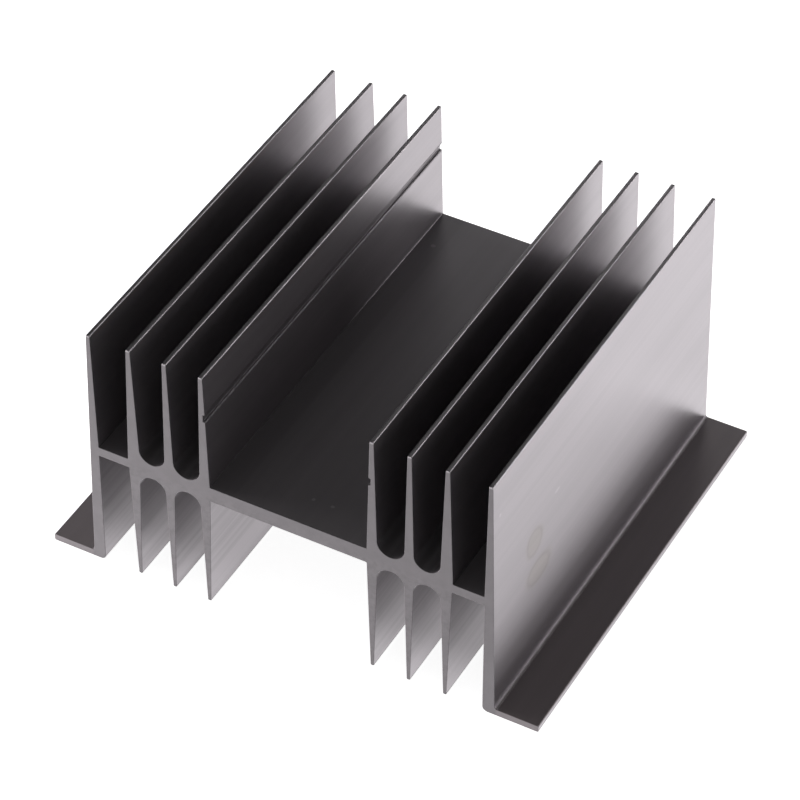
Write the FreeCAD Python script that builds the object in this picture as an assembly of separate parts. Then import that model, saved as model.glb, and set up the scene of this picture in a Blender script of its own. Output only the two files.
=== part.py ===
import FreeCAD, Part
import math
import os

os.makedirs("parts", exist_ok=True)

# Extruded heat sink in one piece. Millimetres, +Z up, the length runs along Y.
# The origin is on the centre line of the section, half way along, at the underside of the feet.

# The length of extrusion and its outside sizes
length = 101.6
height = 63.5
width_over_feet = 117.0

# Webs: a thick one carries the device and the fins, a thin one ties in each outer wall
web_mid_z = 31.7
thick_web = 3.95
thin_web = 2.4
thick_web_top = web_mid_z + thick_web / 2
thick_web_under = web_mid_z - thick_web / 2
thin_web_top = web_mid_z + thin_web / 2
thin_web_under = web_mid_z - thin_web / 2

# Fins, counted outwards from the clear channel in the middle of the section
fin_spacing = 8.54
first_fin_x = 19.67
fin_tip = 0.97
fin_root_above = (2.45, 2.25, 2.95)
fin_root_below = (2.5, 2.25, 2.6)
lower_tip = 0.8
lower_tip_z = 0.25
tip_round = 0.3
inside_corner = 0.2

# Groove along the face of the first fin on each side
groove_z = 51.65
groove_height = 1.8
groove_depth = 0.5
groove_lip = 0.12

# Outer walls, thinner towards the top, and the feet they stand on
wall_top_x = 46.75
wall_bottom_x = 48.4
wall_top = 0.93
wall_inner_web_x = 45.42
wall_inner_bottom_x = 45.5
foot = 1.75
foot_corner = 0.35
foot_fillet = 0.6
wall_heel = 1.3

# Two arcs nearer to each other than this meet without a line between them
shortest_line = 0.001


def between(low, high, z):
    # x on the straight line through two (x, z) points, at height z
    share = (z - low[1]) / (high[1] - low[1])
    return low[0] + share * (high[0] - low[0])


def fin_sides(number):
    # Four drafted sides of one fin as (x, z) pairs, and both tips
    x = first_fin_x + number * fin_spacing
    above = fin_root_above[number] / 2
    below = fin_root_below[number] / 2
    return {
        "upper_in": ((x - above, thick_web_top), (x - fin_tip / 2, height)),
        "upper_out": ((x + above, thick_web_top), (x + fin_tip / 2, height)),
        "lower_in": ((x - lower_tip / 2, lower_tip_z), (x - below, thick_web_under)),
        "lower_out": ((x + lower_tip / 2, lower_tip_z), (x + below, thick_web_under)),
    }


def channel_round(number, roots, tip, rise):
    # Radius that fills the bottom of the channel between a fin and the next one out,
    # and meets both of their leaning sides
    gap = fin_spacing - (roots[number] + roots[number + 1]) / 2
    spans = 0
    for fin in (number, number + 1):
        lean = math.atan2((roots[fin] - tip) / 2, rise)
        spans += math.tan(math.pi / 4 - lean / 2)
    return gap / spans


def groove_corners(side):
    # The groove's four corners, from the lower lip to the upper one
    top = groove_z + groove_height
    low_x = between(side[0], side[1], groove_z)
    high_x = between(side[0], side[1], top)
    return [
        (low_x, groove_z, groove_lip),
        (low_x + groove_depth, groove_z, 0),
        (high_x + groove_depth, top, 0),
        (high_x, top, groove_lip),
    ]


def upper_corners():
    # Corners above the webs as (x, z, radius), from the middle outwards
    rise = height - thick_web_top
    rounds = [channel_round(number, fin_root_above, fin_tip, rise) for number in range(2)]
    corners = []
    for number in range(3):
        sides = fin_sides(number)
        root_in, tip_in = sides["upper_in"]
        root_out, tip_out = sides["upper_out"]
        corners.append((root_in[0], root_in[1], inside_corner if number == 0 else rounds[number - 1]))
        if number == 0:
            corners += groove_corners(sides["upper_in"])
        corners.append((tip_in[0], tip_in[1], tip_round))
        corners.append((tip_out[0], tip_out[1], tip_round))
        if number < 2:
            corners.append((root_out[0], root_out[1], rounds[number]))
        else:
            corners.append((between(root_out, tip_out, thin_web_top), thin_web_top, inside_corner))
    return corners


def wall_corners():
    # Outer wall and foot, from the top of the thin web over the tip and round underneath
    inner_low = (wall_inner_web_x, thin_web_top)
    outer_low = (wall_bottom_x, 0)
    outer_top = (wall_top_x, height)
    foot_x = width_over_feet / 2
    return [
        (inner_low[0], inner_low[1], inside_corner),
        (wall_top_x - wall_top, height, tip_round),
        (wall_top_x, height, tip_round),
        (between(outer_low, outer_top, foot), foot, foot_fillet),
        (foot_x, foot, foot_corner),
        (foot_x, 0, foot_corner),
        (wall_inner_bottom_x, 0, wall_heel),
        (wall_inner_web_x, thin_web_under, inside_corner),
    ]


def lower_corners():
    # Corners below the webs as (x, z, radius), from the outer wall inwards
    rise = thick_web_under - lower_tip_z
    rounds = [channel_round(number, fin_root_below, lower_tip, rise) for number in range(2)]
    corners = []
    for number in (2, 1, 0):
        sides = fin_sides(number)
        tip_in, root_in = sides["lower_in"]
        tip_out, root_out = sides["lower_out"]
        if number == 2:
            corners.append((between(tip_out, root_out, thin_web_under), thin_web_under, inside_corner))
        else:
            corners.append((root_out[0], root_out[1], rounds[number]))
        corners.append((tip_out[0], tip_out[1], tip_round))
        corners.append((tip_in[0], tip_in[1], tip_round))
        corners.append((root_in[0], root_in[1], inside_corner if number == 0 else rounds[number - 1]))
    return corners


def section_corners():
    # One side drawn in full, the other its mirror image
    one_side = upper_corners() + wall_corners() + lower_corners()
    other_side = [(-x, z, radius) for x, z, radius in reversed(one_side)]
    return one_side + other_side


def rounded_wire(corners):
    # Closed wire of straight lines, with a true arc at every corner that has a radius
    points = [FreeCAD.Vector(x, 0, z) for x, z, radius in corners]
    count = len(points)
    starts = []
    ends = []
    middles = []
    for index in range(count):
        corner = points[index]
        radius = corners[index][2]
        if radius == 0:
            starts.append(corner)
            ends.append(corner)
            middles.append(None)
            continue
        back = (points[index - 1] - corner).normalize()
        ahead = (points[(index + 1) % count] - corner).normalize()
        half = back.getAngle(ahead) / 2
        reach = radius / math.tan(half)
        inward = (back + ahead).normalize()
        centre = corner + inward * (radius / math.sin(half))
        starts.append(corner + back * reach)
        ends.append(corner + ahead * reach)
        middles.append(centre - inward * radius)
    edges = []
    for index in range(count):
        if middles[index] is not None:
            arc = Part.Arc(starts[index], middles[index], ends[index])
            edges.append(arc.toShape())
        following = starts[(index + 1) % count]
        if ends[index].distanceToPoint(following) > shortest_line:
            edges.append(Part.makeLine(ends[index], following))
    return Part.Wire(edges)


def heat_sink():
    section = Part.Face(rounded_wire(section_corners()))
    section.translate(FreeCAD.Vector(0, -length / 2, 0))
    return section.extrude(FreeCAD.Vector(0, length, 0))


shape = heat_sink()
shape.exportStep("parts/heat_sink.step")
print("valid", shape.isValid(), "volume mm3", round(shape.Volume, 1), "solids", len(shape.Solids))
print("box", shape.BoundBox)
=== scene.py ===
import math

import bpy
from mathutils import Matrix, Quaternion, Vector


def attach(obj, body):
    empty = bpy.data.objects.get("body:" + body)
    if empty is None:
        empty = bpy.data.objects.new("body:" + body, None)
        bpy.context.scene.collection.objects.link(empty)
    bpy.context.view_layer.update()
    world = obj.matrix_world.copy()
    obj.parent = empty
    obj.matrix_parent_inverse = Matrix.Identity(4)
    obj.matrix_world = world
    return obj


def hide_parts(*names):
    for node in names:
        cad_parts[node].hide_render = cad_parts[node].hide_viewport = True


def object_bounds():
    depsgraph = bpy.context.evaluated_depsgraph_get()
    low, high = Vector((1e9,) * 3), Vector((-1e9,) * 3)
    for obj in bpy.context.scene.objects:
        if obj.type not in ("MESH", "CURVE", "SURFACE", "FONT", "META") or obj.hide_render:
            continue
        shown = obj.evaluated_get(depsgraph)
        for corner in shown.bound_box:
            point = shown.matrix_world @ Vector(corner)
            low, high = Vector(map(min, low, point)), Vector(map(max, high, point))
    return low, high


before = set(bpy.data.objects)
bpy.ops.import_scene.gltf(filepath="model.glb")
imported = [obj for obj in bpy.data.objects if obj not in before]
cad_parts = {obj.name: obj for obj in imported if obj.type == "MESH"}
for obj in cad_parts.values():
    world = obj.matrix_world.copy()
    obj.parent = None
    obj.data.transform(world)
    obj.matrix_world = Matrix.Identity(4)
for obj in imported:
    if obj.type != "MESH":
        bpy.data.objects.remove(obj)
cad_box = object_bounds()

MM = 0.001
PART_LOW, PART_HIGH = cad_box
HALF_LENGTH = PART_HIGH.y
HEIGHT = PART_HIGH.z

# Points of the mesh nearer than this are one point, and facets that turn less are one face
SAME_PLACE = 0.001 * MM
SAME_FACE = math.radians(0.2)
# The sawn ends have their sharp edges taken off by this much
DEBURR = 0.1 * MM

# Camera, placed as in the photograph: turned to the right of the front end and looking down
CAMERA_AZIMUTH = math.radians(28.562)
CAMERA_ELEVATION = math.radians(42.216)
CAMERA_ROLL = math.radians(0.204)
CAMERA_DISTANCE = 794 * MM
CAMERA_AIM = Vector((1.57, -5.83, 31.11)) * MM
CAMERA_LENS = 168.5
CAMERA_SENSOR = 36

# Soft lights: azimuth and elevation in degrees, distance and size in metres, power in watts.
# Azimuth 0 is in front of the part and 90 to its right
LIGHTS = (
    ("left_window", 272, 20, 0.8, 0.5, 5.6),
    ("back_softbox", 180, 30, 1.2, 0.8, 0.2),
    ("back_left_panel", 205, 13, 1.2, 0.5, 2.3),
    ("high_softbox", 190, 50, 1.2, 0.6, 0.17),
    ("low_panel", 130, 12, 1.2, 0.45, 2.7),
)

# The room: the light that it gives, and how bright its ceiling looks in reflections
WORLD_LEVEL = 0.4
CEILING_SEEN = 0.01

# The floor: its paper, the glow that the camera sees, and the glow seen in reflections
FLOOR_SIZE = 12.0
FLOOR_GAP = 0.02 * MM
FLOOR_WHITE = 0.8
FLOOR_ROUGHNESS = 0.9
FLOOR_SEEN = 0.9
FLOOR_REFLECTED = 0.86
# Painted light in the glow along the part's ends, and painted shade in it under the part
FLOOR_BY_THE_ENDS = 1.0
SHADE_UNDER_PART = 0.24

# Where one area fades into the next, as pairs of distances in millimetres. On the section they
# are heights from the feet up, and widths from its middle out
FEET_TOP = (1.8, 2.3)
FEET_START = (48.3, 49.0)
BELOW_WEBS = (30.0, 33.0)
BETWEEN_WALLS = (45.6, 46.4)
OUTSIDE_RIGHT_WALL = (46.2, 46.6)
TIPS_BELOW_TOP = (0.6, 0.2)
# For the floor glow's painted shade and painted light: under the part, the narrow channels' inner
# and outer sides, and distances from its ends
NARROW_CHANNELS_FROM = (17.0, 23.0)
NARROW_CHANNELS_TO = (45.0, 48.0)
SHADE_FROM_END = (16.0, 3.0)
BRIGHT_BY_END = (3.0, 18.0)

# The groove's lower lip along the first fins, with a painted highlight: x and z in millimetres, and
# its soft edges
GROOVE_LIP = (18.89, 51.68)
LIP_HALF_HEIGHT = (0.12, 0.2)
LIP_DEPTH = (0.1, 0.2)

# The thick web's top, and a line of the die on it, left of which it is a shade darker. The
# darker strip reaches this far above and below the top, and this far out from the middle
WEB_TOP = 33.7
WEB_TOP_REACH = (0.2, 0.4)
WEB_HALF_WIDTH = (18.0, 18.4)
WEB_LINE = -12.8
WEB_LINE_HALF_WIDTH = 0.5
WEB_STRIP_SHADE = 0.08

# Widths of the lines that the die leaves along the bar, and how long a line keeps its strength
FINE_LINE = 0.5 * MM
DEEP_LINE = 1.3 * MM
BROAD_LINE = 3.5 * MM
LINE_RUN = 160 * MM
GRAIN = 0.22 * MM

# Relief of the finish, and what part of it each pattern gives
RELIEF = 0.1 * MM
FINE_SHARE = 0.08
FINE_SHARE_IN_CHANNELS = 0.14
BROAD_SHARE = 0.25
TOOTH_SHARE = 0.02

# The noise patterns stay between these levels over most of a surface
NOISE_LOW = 0.3
NOISE_HIGH = 0.7
DEEP_NOISE_HIGH = 0.6

# Colours of the black dye seen face on, and of the clear layer over it at grazing angles
DYE = (0.081, 0.074, 0.0775)
# Painted light: the feet's top is given a paler colour for the light that falls on it
PAINTED_LIGHT_ON_FEET = (0.143, 0.121, 0.124)
# Painted highlight: the tips and the groove's lower lip are given a paler colour
PAINTED_HIGHLIGHT_ON_TIPS = (0.36, 0.338, 0.352)
CLEAR_LAYER = (0.437, 0.405, 0.43)
# How far the patterns shade those colours
BROAD_TONE = (0.96, 1.03)
DEEP_LINE_SHADE = (0.1, -0.03)

# Turn away from facing the eye, 0 to 1, where the clear layer's gloss starts and is full
GLOSS_STARTS = 0.15
GLOSS_FULL = 0.75
METAL_FACE_ON = 0.25
METAL_GAIN = 0.68
ROUGHNESS = (0.34, 0.38)
TIPS_SMOOTHER_BY = 0.06

# Marks on the outer face of the right wall, as (y, z) and half sizes in millimetres: two drops
# that dried there, and specks of dust. Then specks on the web, as (x, y) and half sizes
DRIED_DROPS = (((-33.0, 33.9), (3.2, 3.2)), ((-31.2, 24.9), (4.8, 2.8)))
WALL_SPECKS = (((-22.9, 40.1), (0.9, 0.35)), ((-47.9, 53.9), (0.35, 0.35)))
WEB_SPECKS = (((-15.0, 39.7), (0.45, 0.4)), ((6.5, -43.5), (0.35, 0.3)), ((2.0, -43.5), (0.3, 0.3)))
DROP_SOFTNESS = 0.5
DROP_WAVER = 0.35
SPECK_SOFTNESS = 0.6
SPOT_TINT = (0.94, 0.93, 0.88)
RIM_TINT = (0.92, 0.905, 0.92)
DUST = (0.07, 0.07, 0.07)
NO_TINT = (1, 1, 1)


def deselect():
    bpy.ops.object.select_all(action="DESELECT")


def make_active(piece):
    deselect()
    piece.select_set(True)
    bpy.context.view_layer.objects.active = piece


def add(tree, kind, **settings):
    node = tree.nodes.new(kind)
    for name, value in settings.items():
        setattr(node, name, value)
    return node


def feed(tree, socket, value):
    # A socket's own value, or a link from another node's socket
    if isinstance(value, (int, float, tuple)):
        socket.default_value = value
    else:
        tree.links.new(value, socket)


def math_node(tree, operation, *values):
    node = add(tree, "ShaderNodeMath", operation=operation)
    for socket, value in zip(node.inputs, values):
        feed(tree, socket, value)
    return node.outputs[0]


def times(tree, first, second):
    return math_node(tree, "MULTIPLY", first, second)


def plus(tree, first, second):
    return math_node(tree, "ADD", first, second)


def minus(tree, first, second):
    return math_node(tree, "SUBTRACT", first, second)


def apart(tree, first, second):
    # How far two values are from each other, either way
    return math_node(tree, "ABSOLUTE", minus(tree, first, second))


def highest(tree, masks):
    result = masks[0]
    for mask in masks[1:]:
        result = math_node(tree, "MAXIMUM", result, mask)
    return result


def vector_math(tree, operation, *values):
    node = add(tree, "ShaderNodeVectorMath", operation=operation)
    for socket, value in zip(node.inputs, values):
        feed(tree, socket, value)
    return node.outputs["Value"] if operation == "LENGTH" else node.outputs["Vector"]


def ramp(tree, value, low, high, to_low=0.0, to_high=1.0):
    # A smooth step of a value from one level to another
    node = add(tree, "ShaderNodeMapRange", interpolation_type="SMOOTHSTEP")
    feed(tree, node.inputs["Value"], value)
    feed(tree, node.inputs["From Min"], low)
    feed(tree, node.inputs["From Max"], high)
    feed(tree, node.inputs["To Min"], to_low)
    feed(tree, node.inputs["To Max"], to_high)
    return node.outputs[0]


def rising(tree, place, edge):
    # A mask that is 0 before an edge and 1 after it, the edge as a pair of places in millimetres
    return ramp(tree, place, edge[0] * MM, edge[1] * MM)


def falling(tree, place, edge):
    return ramp(tree, place, edge[0] * MM, edge[1] * MM, 1.0, 0.0)


def mix_colour(tree, share, first, second, blend="MIX"):
    mix = add(tree, "ShaderNodeMix", data_type="RGBA", blend_type=blend)
    feed(tree, mix.inputs[0], share)
    for socket, value in ((mix.inputs[6], first), (mix.inputs[7], second)):
        feed(tree, socket, (*value, 1) if isinstance(value, tuple) else value)
    return mix.outputs[2]


def tinted(tree, colour, tint):
    return mix_colour(tree, 1.0, colour, tint, "MULTIPLY")


def toned(tree, colour, level):
    # The colour made lighter or darker by a level
    grey = add(tree, "ShaderNodeCombineXYZ")
    for socket in grey.inputs:
        tree.links.new(level, socket)
    return tinted(tree, colour, grey.outputs[0])


def object_place(tree):
    return add(tree, "ShaderNodeTexCoord").outputs["Object"]


def split_place(tree, place):
    split = add(tree, "ShaderNodeSeparateXYZ")
    tree.links.new(place, split.inputs[0])
    return split.outputs


def noise(tree, place, scale, detail=2.0, roughness=0.5):
    node = add(tree, "ShaderNodeTexNoise")
    node.inputs["Detail"].default_value = detail
    node.inputs["Roughness"].default_value = roughness
    feed(tree, node.inputs["Scale"], scale)
    tree.links.new(place, node.inputs["Vector"])
    return node.outputs[0]


def node_group(name, inputs, outputs):
    # An empty shader node group with its sockets, and its two end nodes
    group = bpy.data.node_groups.new(name, "ShaderNodeTree")
    for label, kind, value in inputs:
        socket = group.interface.new_socket(label, in_out="INPUT", socket_type=kind)
        socket.default_value = value
    for label in outputs:
        group.interface.new_socket(label, in_out="OUTPUT", socket_type="NodeSocketFloat")
    start = group.nodes.new("NodeGroupInput")
    end = group.nodes.new("NodeGroupOutput")
    return group, start.outputs, end.inputs


def place_group(tree, group, **values):
    # A group placed in a material, its inputs set by name with underscores for spaces
    node = add(tree, "ShaderNodeGroup")
    node.node_tree = group
    for name, value in values.items():
        node.inputs[name.replace("_", " ")].default_value = value
    return node.outputs


def die_lines_group():
    # Lines along the bar: fixed across the section and slowly changing over the length
    sizes = (
        ("Line Width", "NodeSocketFloat", FINE_LINE),
        ("Run Length", "NodeSocketFloat", LINE_RUN),
    )
    group, start, end = node_group("die_lines", sizes, ("Height",))
    across = math_node(group, "DIVIDE", 1.0, start["Line Width"])
    along = math_node(group, "DIVIDE", 1.0, start["Run Length"])
    stretch = add(group, "ShaderNodeCombineXYZ")
    group.links.new(across, stretch.inputs["X"])
    group.links.new(along, stretch.inputs["Y"])
    group.links.new(across, stretch.inputs["Z"])
    place = vector_math(group, "MULTIPLY", object_place(group), stretch.outputs[0])
    group.links.new(noise(group, place, 1.0, detail=2.5, roughness=0.6), end["Height"])
    return group


def etch_grain_group():
    # The fine matt tooth that etching before the dye leaves
    sizes = (("Grain Size", "NodeSocketFloat", GRAIN),)
    group, start, end = node_group("etch_grain", sizes, ("Height",))
    grains = math_node(group, "DIVIDE", 1.0, start["Grain Size"])
    group.links.new(noise(group, object_place(group), grains), end["Height"])
    return group


def surface_mark_group():
    # An oval mark at a place on the surface: its whole spot, and the rim where it dried last
    settings = (
        ("Centre", "NodeSocketVector", (0, 0, 0)),
        ("Half Size", "NodeSocketVector", (MM, MM, MM)),
        ("Softness", "NodeSocketFloat", 0.3),
        ("Waver", "NodeSocketFloat", 0.0),
    )
    group, start, end = node_group("surface_mark", settings, ("Spot", "Rim"))
    place = object_place(group)
    offset = vector_math(group, "SUBTRACT", place, start["Centre"])
    reach = vector_math(group, "LENGTH", vector_math(group, "DIVIDE", offset, start["Half Size"]))
    swing = minus(group, noise(group, place, 260.0), 0.5)
    reach = plus(group, reach, times(group, swing, start["Waver"]))
    outer = plus(group, 1.0, start["Softness"])
    half = times(group, start["Softness"], 0.5)
    group.links.new(ramp(group, reach, 0.85, outer, 1.0, 0.0), end["Spot"])
    group.links.new(ramp(group, apart(group, reach, 1.0), 0.0, half, 1.0, 0.0), end["Rim"])
    return group


def new_material(name):
    material = bpy.data.materials.new(name)
    material.use_nodes = True
    tree = material.node_tree
    shader = next(node for node in tree.nodes if node.type == "BSDF_PRINCIPLED")
    return material, tree, shader


def add_bump(tree, shader, height, relief):
    bump = add(tree, "ShaderNodeBump")
    bump.inputs["Strength"].default_value = 1.0
    bump.inputs["Distance"].default_value = relief
    tree.links.new(height, bump.inputs["Height"])
    tree.links.new(bump.outputs[0], shader.inputs["Normal"])


def gloss_mask(tree):
    # The clear layer over the dye: near black face on, mirror-like towards grazing angles
    layer = add(tree, "ShaderNodeLayerWeight")
    layer.inputs["Blend"].default_value = 0.5
    return ramp(tree, layer.outputs["Facing"], GLOSS_STARTS, GLOSS_FULL)


def section_areas(tree):
    # Masks of the bar's areas, by their place on its section
    place = split_place(tree, object_place(tree))
    x, z = place["X"], place["Z"]
    aside = math_node(tree, "ABSOLUTE", x)
    channels = times(tree, falling(tree, z, BELOW_WEBS), falling(tree, aside, BETWEEN_WALLS))
    feet = times(tree, falling(tree, z, FEET_TOP), rising(tree, aside, FEET_START))

    # The tips and the groove's lower lip: smoother, and with a painted highlight of paler colour
    # and full metal
    low, high = (HEIGHT - below * MM for below in TIPS_BELOW_TOP)
    lip_x, lip_z = GROOVE_LIP
    lip = falling(tree, apart(tree, z, lip_z * MM), LIP_HALF_HEIGHT)
    lip = times(tree, lip, falling(tree, aside, [lip_x + depth for depth in LIP_DEPTH]))
    highlighted_tips_and_lip = highest(tree, (ramp(tree, z, low, high), lip))

    web = falling(tree, apart(tree, z, WEB_TOP * MM), WEB_TOP_REACH)
    web = times(tree, web, falling(tree, aside, WEB_HALF_WIDTH))
    line = (WEB_LINE - WEB_LINE_HALF_WIDTH, WEB_LINE + WEB_LINE_HALF_WIDTH)
    strip = times(tree, web, falling(tree, x, line))
    return channels, feet, highlighted_tips_and_lip, strip, rising(tree, x, OUTSIDE_RIGHT_WALL)


def marked(tree, colour, mark, right_wall):
    # The colour with the dried drops' yellowish spots and darker rims, and pale dust
    spots = []
    rims = []
    dust = []
    for (y, z), (long, high) in DRIED_DROPS:
        place = (0, y * MM, z * MM)
        size = (1, long * MM, high * MM)
        drop = place_group(
            tree, mark, Centre=place, Half_Size=size, Softness=DROP_SOFTNESS, Waver=DROP_WAVER
        )
        spots.append(drop["Spot"])
        rims.append(drop["Rim"])
    for (y, z), (long, high) in WALL_SPECKS:
        place = (0, y * MM, z * MM)
        size = (1, long * MM, high * MM)
        speck = place_group(tree, mark, Centre=place, Half_Size=size, Softness=SPECK_SOFTNESS)
        dust.append(times(tree, speck["Spot"], right_wall))
    for (x, y), (wide, long) in WEB_SPECKS:
        place = (x * MM, y * MM, WEB_TOP * MM)
        size = (wide * MM, long * MM, MM)
        speck = place_group(tree, mark, Centre=place, Half_Size=size, Softness=SPECK_SOFTNESS)
        dust.append(speck["Spot"])
    spot = times(tree, highest(tree, spots), right_wall)
    rim = times(tree, highest(tree, rims), right_wall)
    colour = tinted(tree, colour, mix_colour(tree, spot, NO_TINT, SPOT_TINT))
    colour = tinted(tree, colour, mix_colour(tree, rim, NO_TINT, RIM_TINT))
    return mix_colour(tree, highest(tree, dust), colour, DUST, "ADD")


def black_anodising(lines, grain, mark):
    # The dye, the die's lines, painted light on the feet, and smoother tips and lips with a painted
    # highlight. The slender tongues of the die that form the channels below the webs leave the
    # deepest lines
    material, tree, shader = new_material("black anodising")
    fine = place_group(tree, lines, Line_Width=FINE_LINE, Run_Length=LINE_RUN)["Height"]
    deep = place_group(tree, lines, Line_Width=DEEP_LINE, Run_Length=LINE_RUN)["Height"]
    broad = place_group(tree, lines, Line_Width=BROAD_LINE, Run_Length=LINE_RUN)["Height"]
    tooth = place_group(tree, grain, Grain_Size=GRAIN)["Height"]
    channels, feet, highlighted_tips_and_lip, strip, right_wall = section_areas(tree)

    fine_share = plus(tree, times(tree, channels, FINE_SHARE_IN_CHANNELS), FINE_SHARE)
    height = plus(tree, times(tree, fine, fine_share), times(tree, broad, BROAD_SHARE))
    height = plus(tree, height, times(tree, tooth, TOOTH_SHARE))
    add_bump(tree, shader, height, RELIEF)

    gloss = gloss_mask(tree)
    # Painted light: the feet's top is painted paler
    dye = mix_colour(tree, feet, DYE, PAINTED_LIGHT_ON_FEET)
    # Painted highlight: the tips and the groove's lip are painted paler
    dye = mix_colour(tree, highlighted_tips_and_lip, dye, PAINTED_HIGHLIGHT_ON_TIPS)
    colour = mix_colour(tree, gloss, dye, CLEAR_LAYER)
    colour = toned(tree, colour, minus(tree, 1.0, times(tree, strip, WEB_STRIP_SHADE)))
    colour = toned(tree, colour, ramp(tree, broad, NOISE_LOW, NOISE_HIGH, *BROAD_TONE))
    lined = ramp(tree, deep, NOISE_LOW, DEEP_NOISE_HIGH, *DEEP_LINE_SHADE)
    colour = toned(tree, colour, minus(tree, 1.0, times(tree, lined, channels)))
    colour = marked(tree, colour, mark, right_wall)
    tree.links.new(colour, shader.inputs["Base Color"])

    metal = times(tree, math_node(tree, "POWER", gloss, 0.5), METAL_GAIN)
    metal = plus(tree, metal, METAL_FACE_ON)
    # Full metal on the tips and the lip, part of their painted highlight
    tree.links.new(highest(tree, (metal, highlighted_tips_and_lip)), shader.inputs["Metallic"])
    rough = ramp(tree, fine, NOISE_LOW, NOISE_HIGH, *ROUGHNESS)
    rough = minus(tree, rough, times(tree, highlighted_tips_and_lip, TIPS_SMOOTHER_BY))
    tree.links.new(rough, shader.inputs["Roughness"])
    return material


def join_facets(piece):
    # The CAD's facets joined into whole faces, each still flat
    make_active(piece)
    bpy.ops.object.mode_set(mode="EDIT")
    bpy.ops.mesh.select_all(action="SELECT")
    bpy.ops.mesh.remove_doubles(threshold=SAME_PLACE)
    bpy.ops.mesh.dissolve_limited(angle_limit=SAME_FACE)
    bpy.ops.mesh.select_all(action="DESELECT")
    bpy.ops.object.mode_set(mode="OBJECT")


def ease_sawn_edges(piece):
    for edge in piece.data.edges:
        ends = [piece.data.vertices[index].co for index in edge.vertices]
        edge.select = all(abs(abs(end.y) - HALF_LENGTH) < SAME_PLACE for end in ends)
    bpy.ops.object.mode_set(mode="EDIT")
    bpy.ops.mesh.select_mode(type="EDGE")
    bpy.ops.mesh.bevel(offset=DEBURR, segments=2, profile=0.5, clamp_overlap=False)
    bpy.ops.object.mode_set(mode="OBJECT")


def shade_by_large_faces(piece):
    # Rounds and eased edges blend into the flat faces beside them, which stay flat
    for face in piece.data.polygons:
        face.use_smooth = True
    weighted = piece.modifiers.new("even_normals", "WEIGHTED_NORMAL")
    weighted.mode = "FACE_AREA"
    weighted.weight = 100
    weighted.keep_sharp = False
    bpy.ops.object.modifier_apply(modifier=weighted.name)


def finish_bar(piece):
    # One finish all over, sawn ends too
    finish = black_anodising(die_lines_group(), etch_grain_group(), surface_mark_group())
    piece.data.materials.clear()
    piece.data.materials.append(finish)


def build_bar():
    # The bar as the frame has it, on a copy of its mesh
    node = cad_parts["heat_sink"]
    piece = bpy.data.objects.new("extruded_bar", node.data.copy())
    bpy.context.scene.collection.objects.link(piece)
    join_facets(piece)
    ease_sawn_edges(piece)
    shade_by_large_faces(piece)
    finish_bar(piece)
    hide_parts("heat_sink")
    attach(piece, "root")


def floor_reflection(tree):
    # How bright the paper's glow is in reflections: painted light along the part's ends, and
    # painted shade under its narrow channels
    place = split_place(tree, vector_math(tree, "ABSOLUTE", object_place(tree)))
    narrow = rising(tree, place["X"], NARROW_CHANNELS_FROM)
    narrow = times(tree, narrow, falling(tree, place["X"], NARROW_CHANNELS_TO))
    inner, outer = (HALF_LENGTH - distance * MM for distance in SHADE_FROM_END)
    shade = times(tree, narrow, ramp(tree, place["Y"], inner, outer, 1.0, 0.0))
    near, far = (distance * MM for distance in BRIGHT_BY_END)
    from_end = apart(tree, place["Y"], HALF_LENGTH)
    reflected = ramp(tree, from_end, near, far, FLOOR_BY_THE_ENDS, FLOOR_REFLECTED)
    return times(tree, reflected, minus(tree, 1.0, times(tree, shade, SHADE_UNDER_PART)))


def floor_material():
    # White paper that shows white to the camera and a little dimmer in reflections
    material, tree, shader = new_material("white floor")
    shader.inputs["Base Color"].default_value = (FLOOR_WHITE, FLOOR_WHITE, FLOOR_WHITE, 1)
    shader.inputs["Roughness"].default_value = FLOOR_ROUGHNESS
    path = add(tree, "ShaderNodeLightPath").outputs
    seen = times(tree, path["Is Camera Ray"], FLOOR_SEEN)
    reflected = times(tree, path["Is Glossy Ray"], floor_reflection(tree))
    glow = add(tree, "ShaderNodeEmission")
    tree.links.new(highest(tree, (seen, reflected)), glow.inputs["Strength"])
    both = add(tree, "ShaderNodeAddShader")
    tree.links.new(shader.outputs[0], both.inputs[0])
    tree.links.new(glow.outputs[0], both.inputs[1])
    output = next(node for node in tree.nodes if node.type == "OUTPUT_MATERIAL")
    tree.links.new(both.outputs[0], output.inputs["Surface"])
    return material


def build_floor():
    deselect()
    bpy.ops.mesh.primitive_plane_add(size=FLOOR_SIZE, location=(0, 0, PART_LOW.z - FLOOR_GAP))
    floor = bpy.context.active_object
    floor.name = "floor"
    floor.data.materials.append(floor_material())


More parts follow.
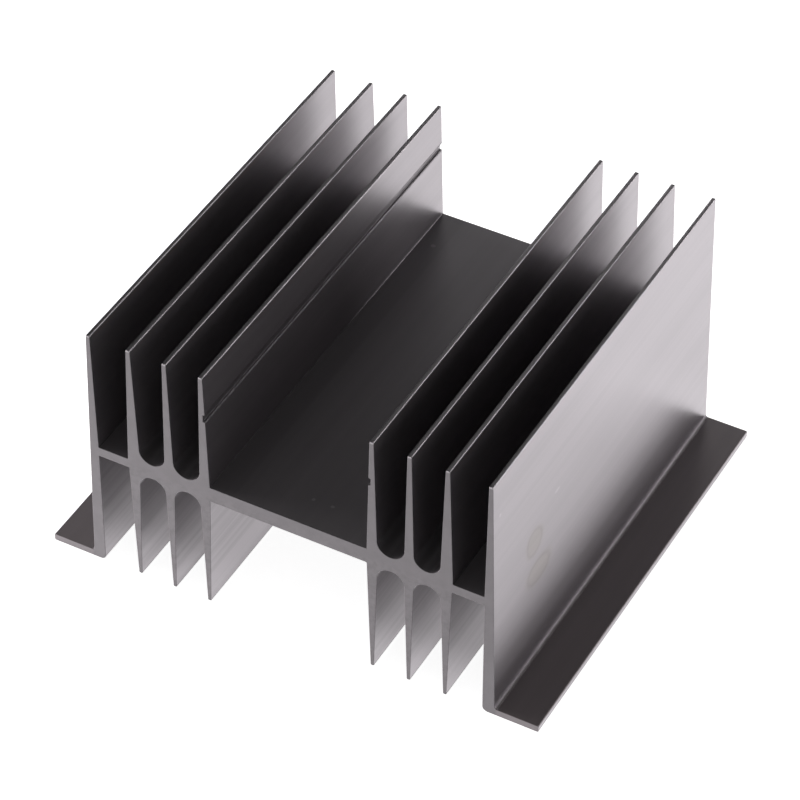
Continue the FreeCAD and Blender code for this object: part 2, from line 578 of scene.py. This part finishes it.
def build_world():
    # A pale room for the light it gives, white to the camera and a dark ceiling in reflections
    world = bpy.data.worlds.new("studio")
    bpy.context.scene.world = world
    world.use_nodes = True
    world.cycles.sampling_method = "NONE"
    tree = world.node_tree
    room = next(node for node in tree.nodes if node.type == "BACKGROUND")
    room.inputs["Color"].default_value = (1, 1, 1, 1)
    room.inputs["Strength"].default_value = WORLD_LEVEL
    path = add(tree, "ShaderNodeLightPath").outputs
    seen = add(tree, "ShaderNodeBackground")
    level = highest(tree, (path["Is Camera Ray"], CEILING_SEEN))
    tree.links.new(level, seen.inputs["Strength"])
    looked_at = highest(tree, (path["Is Camera Ray"], path["Is Glossy Ray"]))
    mix = add(tree, "ShaderNodeMixShader")
    tree.links.new(looked_at, mix.inputs[0])
    tree.links.new(room.outputs[0], mix.inputs[1])
    tree.links.new(seen.outputs[0], mix.inputs[2])
    output = next(node for node in tree.nodes if node.type == "OUTPUT_WORLD")
    tree.links.new(mix.outputs[0], output.inputs["Surface"])


def direction(azimuth, elevation):
    # From the part outwards, with azimuth 0 in front of it and a quarter turn to its right
    level = math.cos(elevation)
    return Vector((math.sin(azimuth) * level, -math.cos(azimuth) * level, math.sin(elevation)))


def place_looking_back(name, data, outwards, place, roll=0.0):
    # A lamp or camera that looks back along the way out to it
    item = bpy.data.objects.new(name, data)
    bpy.context.scene.collection.objects.link(item)
    item.location = place
    item.rotation_mode = "QUATERNION"
    turned = (-outwards).to_track_quat("-Z", "Y")
    item.rotation_quaternion = turned @ Quaternion((0, 0, 1), roll)
    return item


def build_lights():
    for name, azimuth, elevation, distance, size, power in LIGHTS:
        light = bpy.data.lights.new(name, "AREA")
        light.size = size
        light.energy = power
        outwards = direction(math.radians(azimuth), math.radians(elevation))
        place_looking_back(name, light, outwards, outwards * distance)


def build_camera():
    lens = bpy.data.cameras.new("camera")
    lens.lens = CAMERA_LENS
    lens.sensor_width = CAMERA_SENSOR
    outwards = direction(CAMERA_AZIMUTH, CAMERA_ELEVATION)
    place = CAMERA_AIM + outwards * CAMERA_DISTANCE
    bpy.context.scene.camera = place_looking_back("camera", lens, outwards, place, CAMERA_ROLL)


build_bar()
build_floor()
build_world()
build_lights()
build_camera()
bpy.context.scene.view_settings.view_transform = "Standard"
